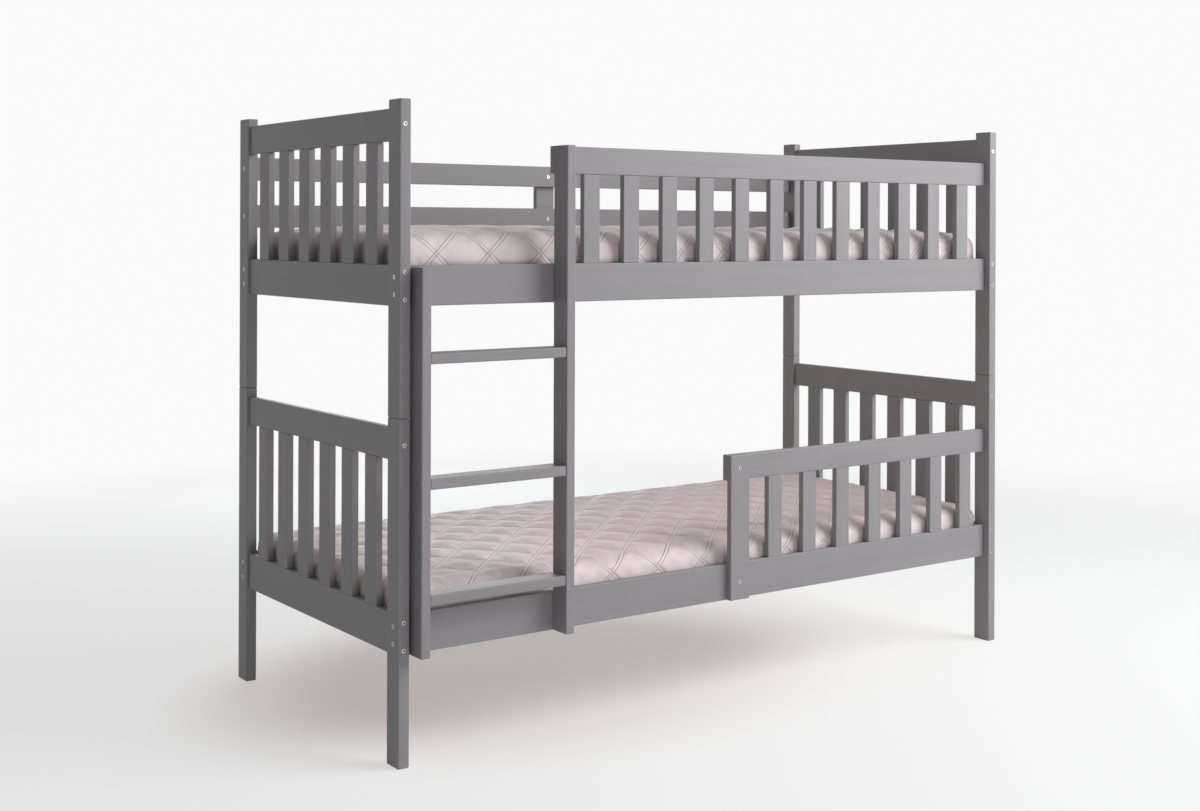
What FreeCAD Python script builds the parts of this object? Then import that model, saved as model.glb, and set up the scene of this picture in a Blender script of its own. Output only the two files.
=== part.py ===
import FreeCAD
import Part
import Sketcher
import math
import os
import re

# Driving dimensions of the bed, in millimetres
sizes = {
    "mattress_length": 1900,
    "mattress_width": 800,
    "lower_mattress_side_height": 92,
    "upper_mattress_height": 130,
    "upper_mattress_edge_round": 30,
    "mattress_crown_rise": 12,
    "mattress_crown_run": 330,
    "mattress_shoulder": 42,
    "mattress_foot_draw": 8,
    "mattress_corner": 42,
    "mattress_lift": 0.3,
    "quilt_diamond": 142,
    "quilt_channel_width": 6,
    "quilt_channel_depth": 3,
    "quilt_corner_room": 110,
    "quilt_shift": 56,
    "end_room": 10.5,
    "side_room": 11,
    "post_thickness": 28,
    "post_depth": 55,
    "post_round": 3,
    "lower_post_height": 775,
    "upper_post_height": 710,
    "lower_post_stand": 23,
    "upper_post_stand": 19.5,
    "board_thickness": 17,
    "board_round": 2.5,
    "rail_height": 92,
    "lower_rail_rise": 246,
    "upper_rail_rise": 248,
    "top_board_height": 73,
    "end_slat_width": 56,
    "slat_round": 1.5,
    "tenon_length": 12,
    "tenon_shoulder": 4,
    "tenon_edge": 8,
    "tenon_clearance": 0.2,
    "tenon_end_room": 0.5,
    "guard_rise": 213.5,
    "guard_board_height": 66,
    "guard_slat_width": 47,
    "upper_guard_left_gap": 87.5,
    "upper_guard_right_gap": 73,
    "lower_guard_length": 979,
    "lower_guard_left_gap": 142.5,
    "lower_guard_right_gap": 57,
    "guard_post_width": 63,
    "rear_board_height": 61,
    "rear_low_rise": 83,
    "rear_top_rise": 208.5,
    "rear_upright_width": 64,
    "rear_upright_reach": 903,
    "stile_thickness": 24,
    "stile_depth": 58,
    "ladder_gap": 7.5,
    "left_stile_drop": 4.5,
    "rung_length": 362,
    "rung_thickness": 24,
    "rung_depth": 55,
    "first_rung_rise": 115,
    "second_rung_step": 257,
    "third_rung_step": 278,
    "rung_bolt_inset": 20,
    "rung_dowel_diameter": 8,
    "rung_dowel_reach": 12,
    "ledger_depth": 20,
    "ledger_height": 25,
    "ledger_rise": 8,
    "ledger_inset": 60,
    "ledger_screw_inset": 80,
    "ledger_screw_rise": 6,
    "base_slat_width": 70,
    "base_slat_thickness": 14,
    "base_slat_inset": 65,
    "base_slat_end_gap": 3,
    "bolt_diameter": 6,
    "bolt_head_diameter": 10,
    "bolt_head_height": 6,
    "bolt_recess": 0.5,
    "bolt_clearance": 0.3,
    "bolt_past_nut": 7,
    "bolt_end_room": 1,
    "socket_radius": 2.9,
    "socket_depth": 3,
    "rail_bolt_spread": 19.5,
    "bolt_crossing": 11.5,
    "nut_diameter": 10,
    "nut_length": 13,
    "nut_reach": 32,
    "nut_clearance": 0.15,
    "thread_clearance": 0.1,
    "insert_length": 13,
    "screw_diameter": 4,
    "screw_head_diameter": 8,
    "screw_head_height": 3,
    "screw_head_room": 0.3,
    "screw_bite": 11,
    "screw_clearance": 0.2,
    "pin_diameter": 10,
    "pin_reach": 40,
    "pin_clearance": 0.3,
}

# Numbers of repeated pieces
end_slat_count = 6
upper_guard_slat_count = 12
lower_guard_slat_count = 7
base_slat_count = 12
ledger_screw_count = 5

# Places and sizes worked out from the driving dimensions
places = {
    "bed_length": "mattress_length + 2 * end_room + post_thickness + board_thickness",
    "bed_width": "mattress_width + 2 * side_room + post_depth + board_thickness",
    "end_inset": "(post_thickness - board_thickness) / 2",
    "rail_setback": "(post_depth - board_thickness) / 2",
    "ladder_out": "stile_depth - rail_setback",
    "left_x": "-bed_length / 2",
    "right_x": "bed_length / 2",
    "front_y": "(ladder_out - bed_width) / 2",
    "rear_y": "front_y + bed_width",
    "inner_left": "left_x + post_thickness",
    "inner_right": "right_x - post_thickness",
    "inner_front": "front_y + post_depth",
    "inner_rear": "rear_y - post_depth",
    "inner_length": "inner_right - inner_left",
    "inner_width": "inner_rear - inner_front",
    "left_post_x": "left_x + post_thickness / 2",
    "right_post_x": "right_x - post_thickness / 2",
    "front_post_y": "front_y + post_depth / 2",
    "rear_post_y": "rear_y - post_depth / 2",
    "left_board_x": "left_x + end_inset",
    "right_board_x": "right_x - end_inset - board_thickness",
    "front_rail_y": "front_y + rail_setback",
    "rear_rail_y": "rear_y - rail_setback - board_thickness",
    "middle_y": "(front_y + rear_y) / 2",
    "lower_rail_z": "lower_rail_rise",
    "upper_rail_z": "lower_post_height + upper_rail_rise",
    "lower_top_board_z": "lower_post_height - lower_post_stand - top_board_height",
    "upper_top_board_z": "lower_post_height + upper_post_height - upper_post_stand - top_board_height",
    "lower_end_slat_length": "lower_top_board_z - lower_rail_z - rail_height",
    "upper_end_slat_length": "upper_top_board_z - upper_rail_z - rail_height",
    "end_slat_gap": f"(inner_width - {end_slat_count} * end_slat_width) / ({end_slat_count} + 1)",
    "end_slat_pitch": "end_slat_width + end_slat_gap",
    "cap_depth": "bolt_head_height + bolt_recess",
    "bolt_hole": "bolt_diameter + 2 * bolt_clearance",
    "cap_hole": "bolt_head_diameter + 2 * bolt_clearance",
    "nut_hole": "nut_diameter + 2 * nut_clearance",
    "nut_hole_depth": "(board_thickness + nut_length) / 2",
    "end_hole_depth": "nut_reach + bolt_past_nut + bolt_end_room",
    "panel_bolt_spread": "rail_bolt_spread + bolt_crossing",
    "lower_guard_z": "lower_rail_z + rail_height + guard_rise",
    "upper_guard_z": "upper_rail_z + rail_height + guard_rise",
    "stile_y": "front_y - ladder_out",
    "left_stile_x": "inner_left + ladder_gap",
    "right_stile_x": "left_stile_x + stile_thickness + rung_length",
    "left_stile_length": "upper_rail_z + rail_height - left_stile_drop - lower_rail_z",
    "right_stile_length": "upper_guard_z + guard_board_height - lower_rail_z",
    "rung_y": "stile_y + (stile_depth - rung_depth) / 2",
    "rung_bolt_y": "stile_y + rung_bolt_inset",
    "rung_dowel_y": "stile_y + stile_depth - rung_bolt_inset",
    "first_rung_z": "lower_rail_z + first_rung_rise",
    "second_rung_z": "first_rung_z + second_rung_step",
    "third_rung_z": "second_rung_z + third_rung_step",
    "upper_guard_x": "right_stile_x",
    "upper_guard_length": "inner_right - upper_guard_x",
    "upper_guard_run": "upper_guard_length - upper_guard_left_gap - upper_guard_right_gap - guard_slat_width",
    "upper_guard_pitch": f"upper_guard_run / ({upper_guard_slat_count} - 1)",
    "lower_guard_x": "inner_right - lower_guard_length",
    "lower_guard_run": "lower_guard_length - lower_guard_left_gap - lower_guard_right_gap - guard_slat_width",
    "lower_guard_pitch": f"lower_guard_run / ({lower_guard_slat_count} - 1)",
    "rear_low_z": "upper_rail_z + rail_height + rear_low_rise",
    "rear_top_z": "upper_rail_z + rail_height + rear_top_rise",
    "rear_upright_x": "inner_left + rear_upright_reach",
    "rear_upright_length": "rear_top_z + rear_board_height - upper_rail_z",
    "ledger_length": "inner_length - 2 * ledger_inset",
    "ledger_x": "inner_left + ledger_inset",
    "front_ledger_y": "front_rail_y + board_thickness",
    "rear_ledger_y": "rear_rail_y - ledger_depth",
    "ledger_screw_pitch": f"(ledger_length - 2 * ledger_screw_inset) / ({ledger_screw_count} - 1)",
    "screw_hole": "screw_diameter + 2 * screw_clearance",
    "screw_cap_hole": "screw_head_diameter + 2 * screw_clearance",
    "screw_cap_depth": "screw_head_height + screw_head_room",
    "base_slat_length": "rear_rail_y - front_rail_y - board_thickness - 2 * base_slat_end_gap",
    "base_slat_x": "inner_left + base_slat_inset",
    "base_slat_y": "front_rail_y + board_thickness + base_slat_end_gap",
    "base_slat_run": "inner_length - 2 * base_slat_inset - base_slat_width",
    "base_slat_pitch": f"base_slat_run / ({base_slat_count} - 1)",
    "base_screw_inset": "ledger_depth / 2 - base_slat_end_gap",
    "pin_hole": "pin_diameter + 2 * pin_clearance",
}

doc = FreeCAD.newDocument("bunk_bed")
sheet = doc.addObject("Spreadsheet::Sheet", "Sizes")
for row, (name, size) in enumerate(sizes.items(), 1):
    sheet.set(f"A{row}", name)
    sheet.set(f"B{row}", str(size))
    sheet.setAlias(f"B{row}", name)
doc.recompute()

nodes = []
up = FreeCAD.Vector(0, 0, 1)
no_turn = FreeCAD.Rotation()
towards = {
    "x+": FreeCAD.Rotation(up, FreeCAD.Vector(1, 0, 0)),
    "x-": FreeCAD.Rotation(up, FreeCAD.Vector(-1, 0, 0)),
    "y+": FreeCAD.Rotation(up, FreeCAD.Vector(0, 1, 0)),
    "y-": FreeCAD.Rotation(up, FreeCAD.Vector(0, -1, 0)),
    "z-": FreeCAD.Rotation(up, FreeCAD.Vector(0, 0, -1)),
}
rail_nut_turn = FreeCAD.Rotation(FreeCAD.Vector(1, 0, 0), -90)
panel_nut_turn = FreeCAD.Rotation(FreeCAD.Vector(1, 1, 1), 120)


def formula(text):
    # spell a size or place out in the cells of the sheet
    def swap(match):
        word = match.group(0)
        if word in sizes:
            return "Sizes." + word
        return "(" + formula(places[word]) + ")"
    return re.sub(r"[a-z_]+", swap, text)


def bind(item, prop, text):
    item.setExpression(prop, formula(text))


def place(item, x, y, z):
    for axis, text in zip("xyz", (x, y, z)):
        bind(item, "Placement.Base." + axis, text)


def keep(item):
    item.Label = item.Name
    nodes.append(item)
    return item


# Sketches and features shared by the boards, posts and slats
def origin_item(body, role):
    return next(item for item in body.Origin.OriginFeatures if item.Role == role)


def sketch_across(body, name, axis, start):
    role = {"x": "YZ_Plane", "y": "XZ_Plane", "z": "XY_Plane"}[axis]
    sketch = body.newObject("Sketcher::SketchObject", name)
    sketch.AttachmentSupport = [(origin_item(body, role), "")]
    sketch.MapMode = "FlatFace"
    bind(sketch, "AttachmentOffset.Base.z", f"-({start})" if axis == "y" else start)
    return sketch


def distance(sketch, kind, first, last, text):
    index = sketch.addConstraint(Sketcher.Constraint(kind, *first, *last, 1.0))
    bind(sketch, f"Constraints[{index}]", text)


def rectangle(sketch, x, y, width, height):
    first = sketch.GeometryCount
    corners = [FreeCAD.Vector(a, b, 0) for a, b in ((1, 1), (2, 1), (2, 2), (1, 2))]
    for corner, after in zip(corners, corners[1:] + corners[:1]):
        sketch.addGeometry(Part.LineSegment(corner, after), False)
    for side in range(4):
        after = first + (side + 1) % 4
        sketch.addConstraint(Sketcher.Constraint("Coincident", first + side, 2, after, 1))
        level = "Vertical" if side % 2 else "Horizontal"
        sketch.addConstraint(Sketcher.Constraint(level, first + side))
    distance(sketch, "DistanceX", (-1, 1), (first, 1), x)
    distance(sketch, "DistanceY", (-1, 1), (first, 1), y)
    distance(sketch, "DistanceX", (first, 1), (first, 2), width)
    distance(sketch, "DistanceY", (first + 1, 1), (first + 1, 2), height)


def circle(sketch, x, y, diameter):
    ring = sketch.addGeometry(Part.Circle(FreeCAD.Vector(1, 1, 0), up, 1), False)
    distance(sketch, "DistanceX", (-1, 1), (ring, 3), x)
    distance(sketch, "DistanceY", (-1, 1), (ring, 3), y)
    index = sketch.addConstraint(Sketcher.Constraint("Diameter", ring, 1.0))
    bind(sketch, f"Constraints[{index}]", diameter)


def block(name, length, depth, height, rounding):
    # a rounded bar of wood with its lowest corner at the body's own origin
    body = doc.addObject("PartDesign::Body", name)
    outline = sketch_across(body, "outline", "z", "0")
    rectangle(outline, "0", "0", length, depth)
    pad = body.newObject("PartDesign::Pad", "bar")
    pad.Profile = outline
    bind(pad, "Length", height)
    doc.recompute()
    soften = body.newObject("PartDesign::Fillet", "soft_edges")
    soften.Base = (pad, [f"Edge{number + 1}" for number in range(len(pad.Shape.Edges))])
    bind(soften, "Radius", rounding)
    doc.recompute()
    return body


def pocket(body, name, sketch, direction, depth):
    before = body.Shape.Volume
    cut = body.newObject("PartDesign::Pocket", name)
    cut.Profile = sketch
    cut.Reversed = direction in ("x+", "y-", "z+")
    bind(cut, "Length", depth)
    doc.recompute()
    if body.Shape.Volume >= before:
        raise RuntimeError(f"{name} cuts nothing from {body.Name}")
    return cut


def drill(body, name, direction, start, depth, diameter, spots):
    sketch = sketch_across(body, name + "_places", direction[0], start)
    for across, height in spots:
        circle(sketch, across, height, diameter)
    return pocket(body, name, sketch, direction, depth)


def repeat(body, feature, axis, pitch, count):
    row = body.newObject("PartDesign::LinearPattern", feature.Name + "_row")
    row.Originals = [feature]
    row.Direction = (origin_item(body, axis), [""])
    row.Mode = "Spacing"
    bind(row, "Offset", pitch)
    row.Occurrences = count
    body.Tip = row
    doc.recompute()


def mortises(body, direction, start, axis, first, width, pitch, count):
    # sockets for the slats' tenons, along a board's edge
    sketch = sketch_across(body, "mortise_outline", "z", start)
    along = (f"{first} + tenon_edge - tenon_clearance", f"{width} - 2 * (tenon_edge - tenon_clearance)")
    across = ("tenon_shoulder - tenon_clearance", "board_thickness - 2 * (tenon_shoulder - tenon_clearance)")
    if axis == "X_Axis":
        rectangle(sketch, along[0], across[0], along[1], across[1])
    else:
        rectangle(sketch, across[0], along[0], across[1], along[1])
    cut = pocket(body, "mortise", sketch, direction, "tenon_length + tenon_end_room")
    repeat(body, cut, axis, pitch, count)


def bolted_end(body, along, end, length, heights):
    # bolt holes in the end grain, each crossed by the hole of its barrel nut
    near = end == "near"
    start = "0" if near else length
    reach = "nut_reach" if near else f"{length} - nut_reach"
    across = "y" if along == "x" else "x"
    bolt_spots = [("board_thickness / 2", height) for height in heights]
    nut_spots = [(reach, height) for height in heights]
    direction = along + ("+" if near else "-")
    drill(body, end + "_bolt_hole", direction, start, "end_hole_depth", "bolt_hole", bolt_spots)
    drill(body, end + "_nut_hole", across + "-", "board_thickness", "nut_hole_depth", "nut_hole", nut_spots)


def capped_hole(body, name, direction, start, depth, spots):
    # a bolt hole with a sunk seat for the bolt's head
    drill(body, name, direction, start, depth, "bolt_hole", spots)
    drill(body, name + "_seat", direction, start, "cap_depth", "cap_hole", spots)


def copies(name, *sets):
    # one node that holds separate pieces, each set a source piece and its places
    links = []
    for source, spots in sets:
        for x, y, z, turn in spots:
            link = doc.addObject("App::Link", name + "_copy")
            link.LinkedObject = source
            link.Placement = FreeCAD.Placement(FreeCAD.Vector(), turn)
            place(link, x, y, z)
            links.append(link)
    group = doc.addObject("Part::Compound", name)
    group.Links = links
    doc.recompute()
    return keep(group)


# Posts: two bolt rows cross in each post, one into the end boards and one into the rails
def post(name, height, x, y, z, panel_heights, rail_heights, pin_start, pin_direction):
    body = block(name, "post_thickness", "post_depth", height, "post_round")
    left = x == "left_x"
    front = y == "front_y"
    panel_spots = [("post_thickness / 2", f"{level} - ({z})") for level in panel_heights]
    rail_spots = [("post_depth / 2", f"{level} - ({z})") for level in rail_heights]
    panel_way = ("y+", "0") if front else ("y-", "post_depth")
    rail_way = ("x+", "0") if left else ("x-", "post_thickness")
    capped_hole(body, "panel_bolt_hole", *panel_way, "post_depth", panel_spots)
    capped_hole(body, "rail_bolt_hole", *rail_way, "post_thickness", rail_spots)
    middle = [("post_thickness / 2", "post_depth / 2")]
    drill(body, "pin_hole", pin_direction, pin_start, "pin_reach", "pin_hole", middle)
    corner_x = x if left else "inner_right"
    corner_y = y if front else "inner_rear"
    place(body, corner_x, corner_y, z)
    return keep(body)


def pair(middle, spread):
    return [f"{middle} - {spread}", f"{middle} + {spread}"]


half_rail = "rail_height / 2"
half_guard = "guard_board_height / 2"
half_rear = "rear_board_height / 2"
rail_levels = {}
panel_levels = {}
for tier in ("lower", "upper"):
    rail_middle = f"{tier}_rail_z + {half_rail}"
    rail_levels[tier] = pair(rail_middle, "rail_bolt_spread")
    panel_levels[tier] = pair(rail_middle, "panel_bolt_spread")
    panel_levels[tier].append(f"{tier}_top_board_z + top_board_height / 2")
guard_levels = {tier: f"{tier}_guard_z + {half_guard}" for tier in ("lower", "upper")}
rear_guard_levels = [f"rear_low_z + {half_rear}", f"rear_top_z + {half_rear}"]

corners = {
    "front_left": ("left_x", "front_y"),
    "rear_left": ("left_x", "rear_y"),
    "front_right": ("right_x", "front_y"),
    "rear_right": ("right_x", "rear_y"),
}
post_rail_levels = {}
for tier in ("lower", "upper"):
    for corner, (x, y) in corners.items():
        levels = list(rail_levels[tier])
        if corner == "front_right":
            levels.append(guard_levels[tier])
        if tier == "upper" and y == "rear_y":
            levels.extend(rear_guard_levels)
        post_rail_levels[tier, corner] = levels
        bottom = "0" if tier == "lower" else "lower_post_height"
        pin_start = "lower_post_height" if tier == "lower" else "0"
        pin_direction = "z-" if tier == "lower" else "z+"
        post(f"{tier}_post_{corner}", f"{tier}_post_height", x, y, bottom,
             panel_levels[tier], levels, pin_start, pin_direction)


# End panels: a top board and a bottom board joined by slats with stub tenons
def end_board(name, height, x, z, heights, mortise_direction):
    body = block(name, "board_thickness", "inner_width", height, "board_round")
    for end in ("near", "far"):
        bolted_end(body, "y", end, "inner_width", heights)
    start = "0" if mortise_direction == "z+" else height
    mortises(body, mortise_direction, start, "Y_Axis", "end_slat_gap", "end_slat_width",
             "end_slat_pitch", end_slat_count)
    place(body, x, "inner_front", z)
    return keep(body)


def tenoned_slat(name, length, depth, height):
    # slat with a stub tenon on each end, shoulders all round
    body = block(name, length, depth, height, "slat_round")
    wide = (depth, length)[depth == "board_thickness"]
    tenon_along = f"{wide} - 2 * tenon_edge"
    tenon_across = "board_thickness - 2 * tenon_shoulder"
    for end, start in (("foot", "0"), ("head", height)):
        sketch = sketch_across(body, end + "_tenon_outline", "z", start)
        if wide == length:
            rectangle(sketch, "tenon_edge", "tenon_shoulder", tenon_along, tenon_across)
        else:
            rectangle(sketch, "tenon_shoulder", "tenon_edge", tenon_across, tenon_along)
        tenon = body.newObject("PartDesign::Pad", end + "_tenon")
        tenon.Profile = sketch
        tenon.Reversed = end == "foot"
        bind(tenon, "Length", "tenon_length")
        doc.recompute()
    return body


for tier in ("lower", "upper"):
    slat = tenoned_slat(f"{tier}_end_slat", "board_thickness", "end_slat_width", f"{tier}_end_slat_length")
    for side in ("left", "right"):
        panel = f"{tier}_{side}_panel"
        board_x = f"{side}_board_x"
        end_board(panel + "_top_board", "top_board_height", board_x, f"{tier}_top_board_z",
                  ["top_board_height / 2"], "z+")
        end_board(panel + "_bottom_board", "rail_height", board_x, f"{tier}_rail_z",
                  pair(half_rail, "panel_bolt_spread"), "z-")
        spots = []
        for number in range(end_slat_count):
            slat_y = f"inner_front + end_slat_gap + {number} * end_slat_pitch"
            spots.append((board_x, slat_y, f"{tier}_rail_z + rail_height", no_turn))
        copies(panel + "_slats", (slat, spots))


# Side rails, their ledger strips and the cross slats that carry the mattress
stile_middles = [f"{side}_stile_x + stile_thickness / 2" for side in ("left", "right")]
rail_ends = pair(half_rail, "rail_bolt_spread")


def rail(name, y, z):
    body = block(name, "inner_length", "board_thickness", "rail_height", "board_round")
    for end in ("near", "far"):
        bolted_end(body, "x", end, "inner_length", rail_ends)
    place(body, "inner_left", y, z)
    return keep(body)


def ledger_screw_holes(body, first, direction, start, depth):
    hole = drill(body, "ledger_screw_hole", direction, start, depth, "screw_hole", [first])
    repeat(body, hole, "X_Axis", "ledger_screw_pitch", ledger_screw_count)


rails = {}
for tier in ("lower", "upper"):
    for side in ("front", "rear"):
        body = rail(f"{tier}_{side}_rail", f"{side}_rail_y", f"{tier}_rail_z")
        rails[tier, side] = body
        inner = ("y-", "board_thickness") if side == "front" else ("y+", "0")
        first = ("ledger_inset + ledger_screw_inset", "ledger_rise + ledger_screw_rise")
        ledger_screw_holes(body, first, *inner, "screw_bite")
for body_key, guard in ((("upper", "front"), "upper_guard"), (("lower", "front"), "lower_guard")):
    body = rails[body_key]
    count = upper_guard_slat_count if guard == "upper_guard" else lower_guard_slat_count
    first = f"{guard}_x - inner_left + {guard}_left_gap"
    mortises(body, "z-", "rail_height", "X_Axis", first, "guard_slat_width", f"{guard}_pitch", count)
capped_hole(rails["upper", "front"], "ladder_bolt_hole", "y-", "board_thickness", "board_thickness",
            [(f"{middle} - inner_left", half_rail) for middle in stile_middles])
guard_post_middle = "lower_guard_x + guard_post_width / 2"
drill(rails["lower", "front"], "guard_insert_hole", "y+", "0", "insert_length", "nut_hole",
      [(f"{guard_post_middle} - inner_left", half_rail)])
upright_middle = "rear_upright_x + rear_upright_width / 2"
capped_hole(rails["upper", "rear"], "upright_bolt_hole", "y+", "0", "board_thickness",
            [(f"{upright_middle} - inner_left", half_rail)])


def ledger(name, y, z, screw_direction):
    body = block(name, "ledger_length", "ledger_depth", "ledger_height", "slat_round")
    start = "ledger_depth" if screw_direction == "y-" else "0"
    first = ("ledger_screw_inset", "ledger_screw_rise")
    ledger_screw_holes(body, first, screw_direction, start, "ledger_depth")
    seat = drill(body, "screw_seat", screw_direction, start, "screw_cap_depth", "screw_cap_hole", [first])
    repeat(body, seat, "X_Axis", "ledger_screw_pitch", ledger_screw_count)
    slat_middle = "base_slat_inset + base_slat_width / 2 - ledger_inset"
    hole = drill(body, "slat_screw_hole", "z-", "ledger_height", "screw_bite", "screw_hole",
                 [(slat_middle, "ledger_depth / 2")])
    repeat(body, hole, "X_Axis", "base_slat_pitch", base_slat_count)
    place(body, "ledger_x", y, z)
    return keep(body)


base_slat = block("base_slat", "base_slat_width", "base_slat_length", "base_slat_thickness", "slat_round")
base_screw_spots = [("base_slat_width / 2", "base_screw_inset"),
                    ("base_slat_width / 2", "base_slat_length - base_screw_inset")]
drill(base_slat, "screw_hole", "z-", "base_slat_thickness", "base_slat_thickness", "screw_hole",
      base_screw_spots)
drill(base_slat, "screw_seat", "z-", "base_slat_thickness", "screw_cap_depth", "screw_cap_hole",
      base_screw_spots)


def cylinder(name, diameter, height, lift="0"):
    item = doc.addObject("Part::Cylinder", name)
    bind(item, "Radius", f"({diameter}) / 2")
    bind(item, "Height", height)
    bind(item, "Placement.Base.z", lift)
    return item


def fused(name, base, tool):
    item = doc.addObject("Part::Fuse", name)
    item.Base = base
    item.Tool = tool
    doc.recompute()
    return item


def cut_from(name, base, tool):
    item = doc.addObject("Part::Cut", name)
    item.Base = base
    item.Tool = tool
    doc.recompute()
    return item


# Fasteners point along their own Z axis, with the top of the head at the origin
def screw(name, length):
    head = cylinder(name + "_head", "screw_head_diameter", "screw_head_height")
    shank = cylinder(name + "_shank", "screw_diameter", length)
    return fused(name, head, shank)


def bolt(name, shank_length):
    head = cylinder(name + "_head", "bolt_head_diameter", "bolt_head_height")
    shank = cylinder(name + "_shank", "bolt_diameter", f"bolt_head_height + {shank_length}")
    socket = doc.addObject("Part::Prism", name + "_socket")
    socket.Polygon = 6
    bind(socket, "Circumradius", "socket_radius")
    bind(socket, "Height", "socket_depth")
    return cut_from(name, fused(name + "_blank", head, shank), socket)


slat_screw = screw("slat_screw", "base_slat_thickness - screw_head_room + screw_bite")
ledger_screw = screw("ledger_screw", "ledger_depth - screw_head_room + screw_bite")
nut_grip = "nut_reach + bolt_past_nut"
panel_bolt = bolt("panel_bolt", f"post_depth - cap_depth + {nut_grip}")
rail_bolt = bolt("rail_bolt", f"post_thickness - cap_depth + {nut_grip}")
rung_bolt = bolt("rung_bolt", f"stile_thickness - cap_depth + {nut_grip}")
short_bolt = bolt("short_bolt", "board_thickness - cap_depth + insert_length")

thread = "bolt_diameter + 2 * thread_clearance"
insert_nut = cut_from("insert_nut", cylinder("insert_blank", "nut_diameter", "insert_length"),
                      cylinder("insert_bore", thread, "insert_length"))
nut_blank = cylinder("nut_blank", "nut_diameter", "nut_length", "-nut_length / 2")
nut_bore = cylinder("nut_bore", thread, "nut_diameter")
nut_bore.Placement.Rotation = towards["x+"]
bind(nut_bore, "Placement.Base.x", "-nut_diameter / 2")
barrel_nut = cut_from("barrel_nut", nut_blank, nut_bore)

for tier in ("lower", "upper"):
    ledger_z = f"{tier}_rail_z + ledger_rise"
    slat_z = f"{ledger_z} + ledger_height"
    ledger(f"{tier}_front_ledger", "front_ledger_y", ledger_z, "y-")
    ledger(f"{tier}_rear_ledger", "rear_ledger_y", ledger_z, "y+")
    slat_spots = []
    screw_spots = []
    ledger_screw_spots = []
    for number in range(base_slat_count):
        slat_x = f"base_slat_x + {number} * base_slat_pitch"
        slat_spots.append((slat_x, "base_slat_y", slat_z, no_turn))
        head_z = f"{slat_z} + base_slat_thickness - screw_head_room"
        for _, inset in base_screw_spots:
            middle = f"{slat_x} + base_slat_width / 2"
            screw_spots.append((middle, f"base_slat_y + {inset}", head_z, towards["z-"]))
    for number in range(ledger_screw_count):
        screw_x = f"ledger_x + ledger_screw_inset + {number} * ledger_screw_pitch"
        screw_z = f"{ledger_z} + ledger_screw_rise"
        front_head = "front_ledger_y + ledger_depth - screw_head_room"
        ledger_screw_spots.append((screw_x, front_head, screw_z, towards["y-"]))
        ledger_screw_spots.append((screw_x, "rear_ledger_y + screw_head_room", screw_z, towards["y+"]))
    copies(f"{tier}_base_slats", (base_slat, slat_spots))
    copies(f"{tier}_base_screws", (slat_screw, screw_spots), (ledger_screw, ledger_screw_spots))


# Front guards: a board on slats, held to the right post and, at the left, to the ladder or end post
def guard_board(name, guard, count):
    length = f"{guard}_length"
    body = block(name, length, "board_thickness", "guard_board_height", "board_round")
    bolted_end(body, "x", "far", length, [half_guard])
    mortises(body, "z+", "0", "X_Axis", f"{guard}_left_gap", "guard_slat_width", f"{guard}_pitch", count)
    place(body, f"{guard}_x", "front_rail_y", f"{guard}_z")
    return keep(body)


guard_slat = tenoned_slat("guard_slat", "guard_slat_width", "board_thickness", "guard_rise")
guard_boards = {}
for tier, count in (("lower", lower_guard_slat_count), ("upper", upper_guard_slat_count)):
    guard = f"{tier}_guard"
    guard_boards[tier] = guard_board(guard + "_board", guard, count)
    spots = []
    for number in range(count):
        slat_x = f"{guard}_x + {guard}_left_gap + {number} * {guard}_pitch"
        spots.append((slat_x, "front_rail_y", f"{tier}_rail_z + rail_height", no_turn))
    copies(guard + "_slats", (guard_slat, spots))
capped_hole(guard_boards["upper"], "ladder_bolt_hole", "y-", "board_thickness", "board_thickness",
            [("stile_thickness / 2", half_guard)])
drill(guard_boards["lower"], "guard_insert_hole", "y+", "0", "insert_length", "nut_hole",
      [("guard_post_width / 2", half_guard)])

guard_post = block("lower_guard_post", "guard_post_width", "board_thickness",
                   "lower_guard_z + guard_board_height - lower_rail_z", "board_round")
guard_post_levels = [half_rail, f"lower_guard_z - lower_rail_z + {half_guard}"]
capped_hole(guard_post, "guard_bolt_hole", "y+", "0", "board_thickness",
            [("guard_post_width / 2", level) for level in guard_post_levels])
place(guard_post, "lower_guard_x", "front_rail_y - board_thickness", "lower_rail_z")
keep(guard_post)


# Rear guard: two boards between the rear posts, stiffened by an upright behind them
def rear_guard_board(name, z):
    body = block(name, "inner_length", "board_thickness", "rear_board_height", "board_round")
    for end in ("near", "far"):
        bolted_end(body, "x", end, "inner_length", [half_rear])
    capped_hole(body, "upright_bolt_hole", "y+", "0", "board_thickness",
                [(f"{upright_middle} - inner_left", half_rear)])
    place(body, "inner_left", "rear_rail_y", z)
    return keep(body)


rear_guard_board("rear_guard_low_board", "rear_low_z")
rear_guard_board("rear_guard_top_board", "rear_top_z")
upright = block("rear_guard_upright", "rear_upright_width", "board_thickness", "rear_upright_length",
                "board_round")
upright_levels = [f"upper_rail_z + {half_rail}"] + rear_guard_levels
drill(upright, "upright_insert_hole", "y+", "0", "insert_length", "nut_hole",
      [("rear_upright_width / 2", f"{level} - (upper_rail_z)") for level in upright_levels])
place(upright, "rear_upright_x", "rear_rail_y + board_thickness", "upper_rail_z")
keep(upright)

# Ladder: two stiles with three flat rungs bolted and dowelled between them
rung_levels = ["first_rung_z", "second_rung_z", "third_rung_z"]
rung_middles = [f"{level} + rung_thickness / 2" for level in rung_levels]
dowel_hole = "rung_dowel_diameter + 2 * bolt_clearance"


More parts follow.
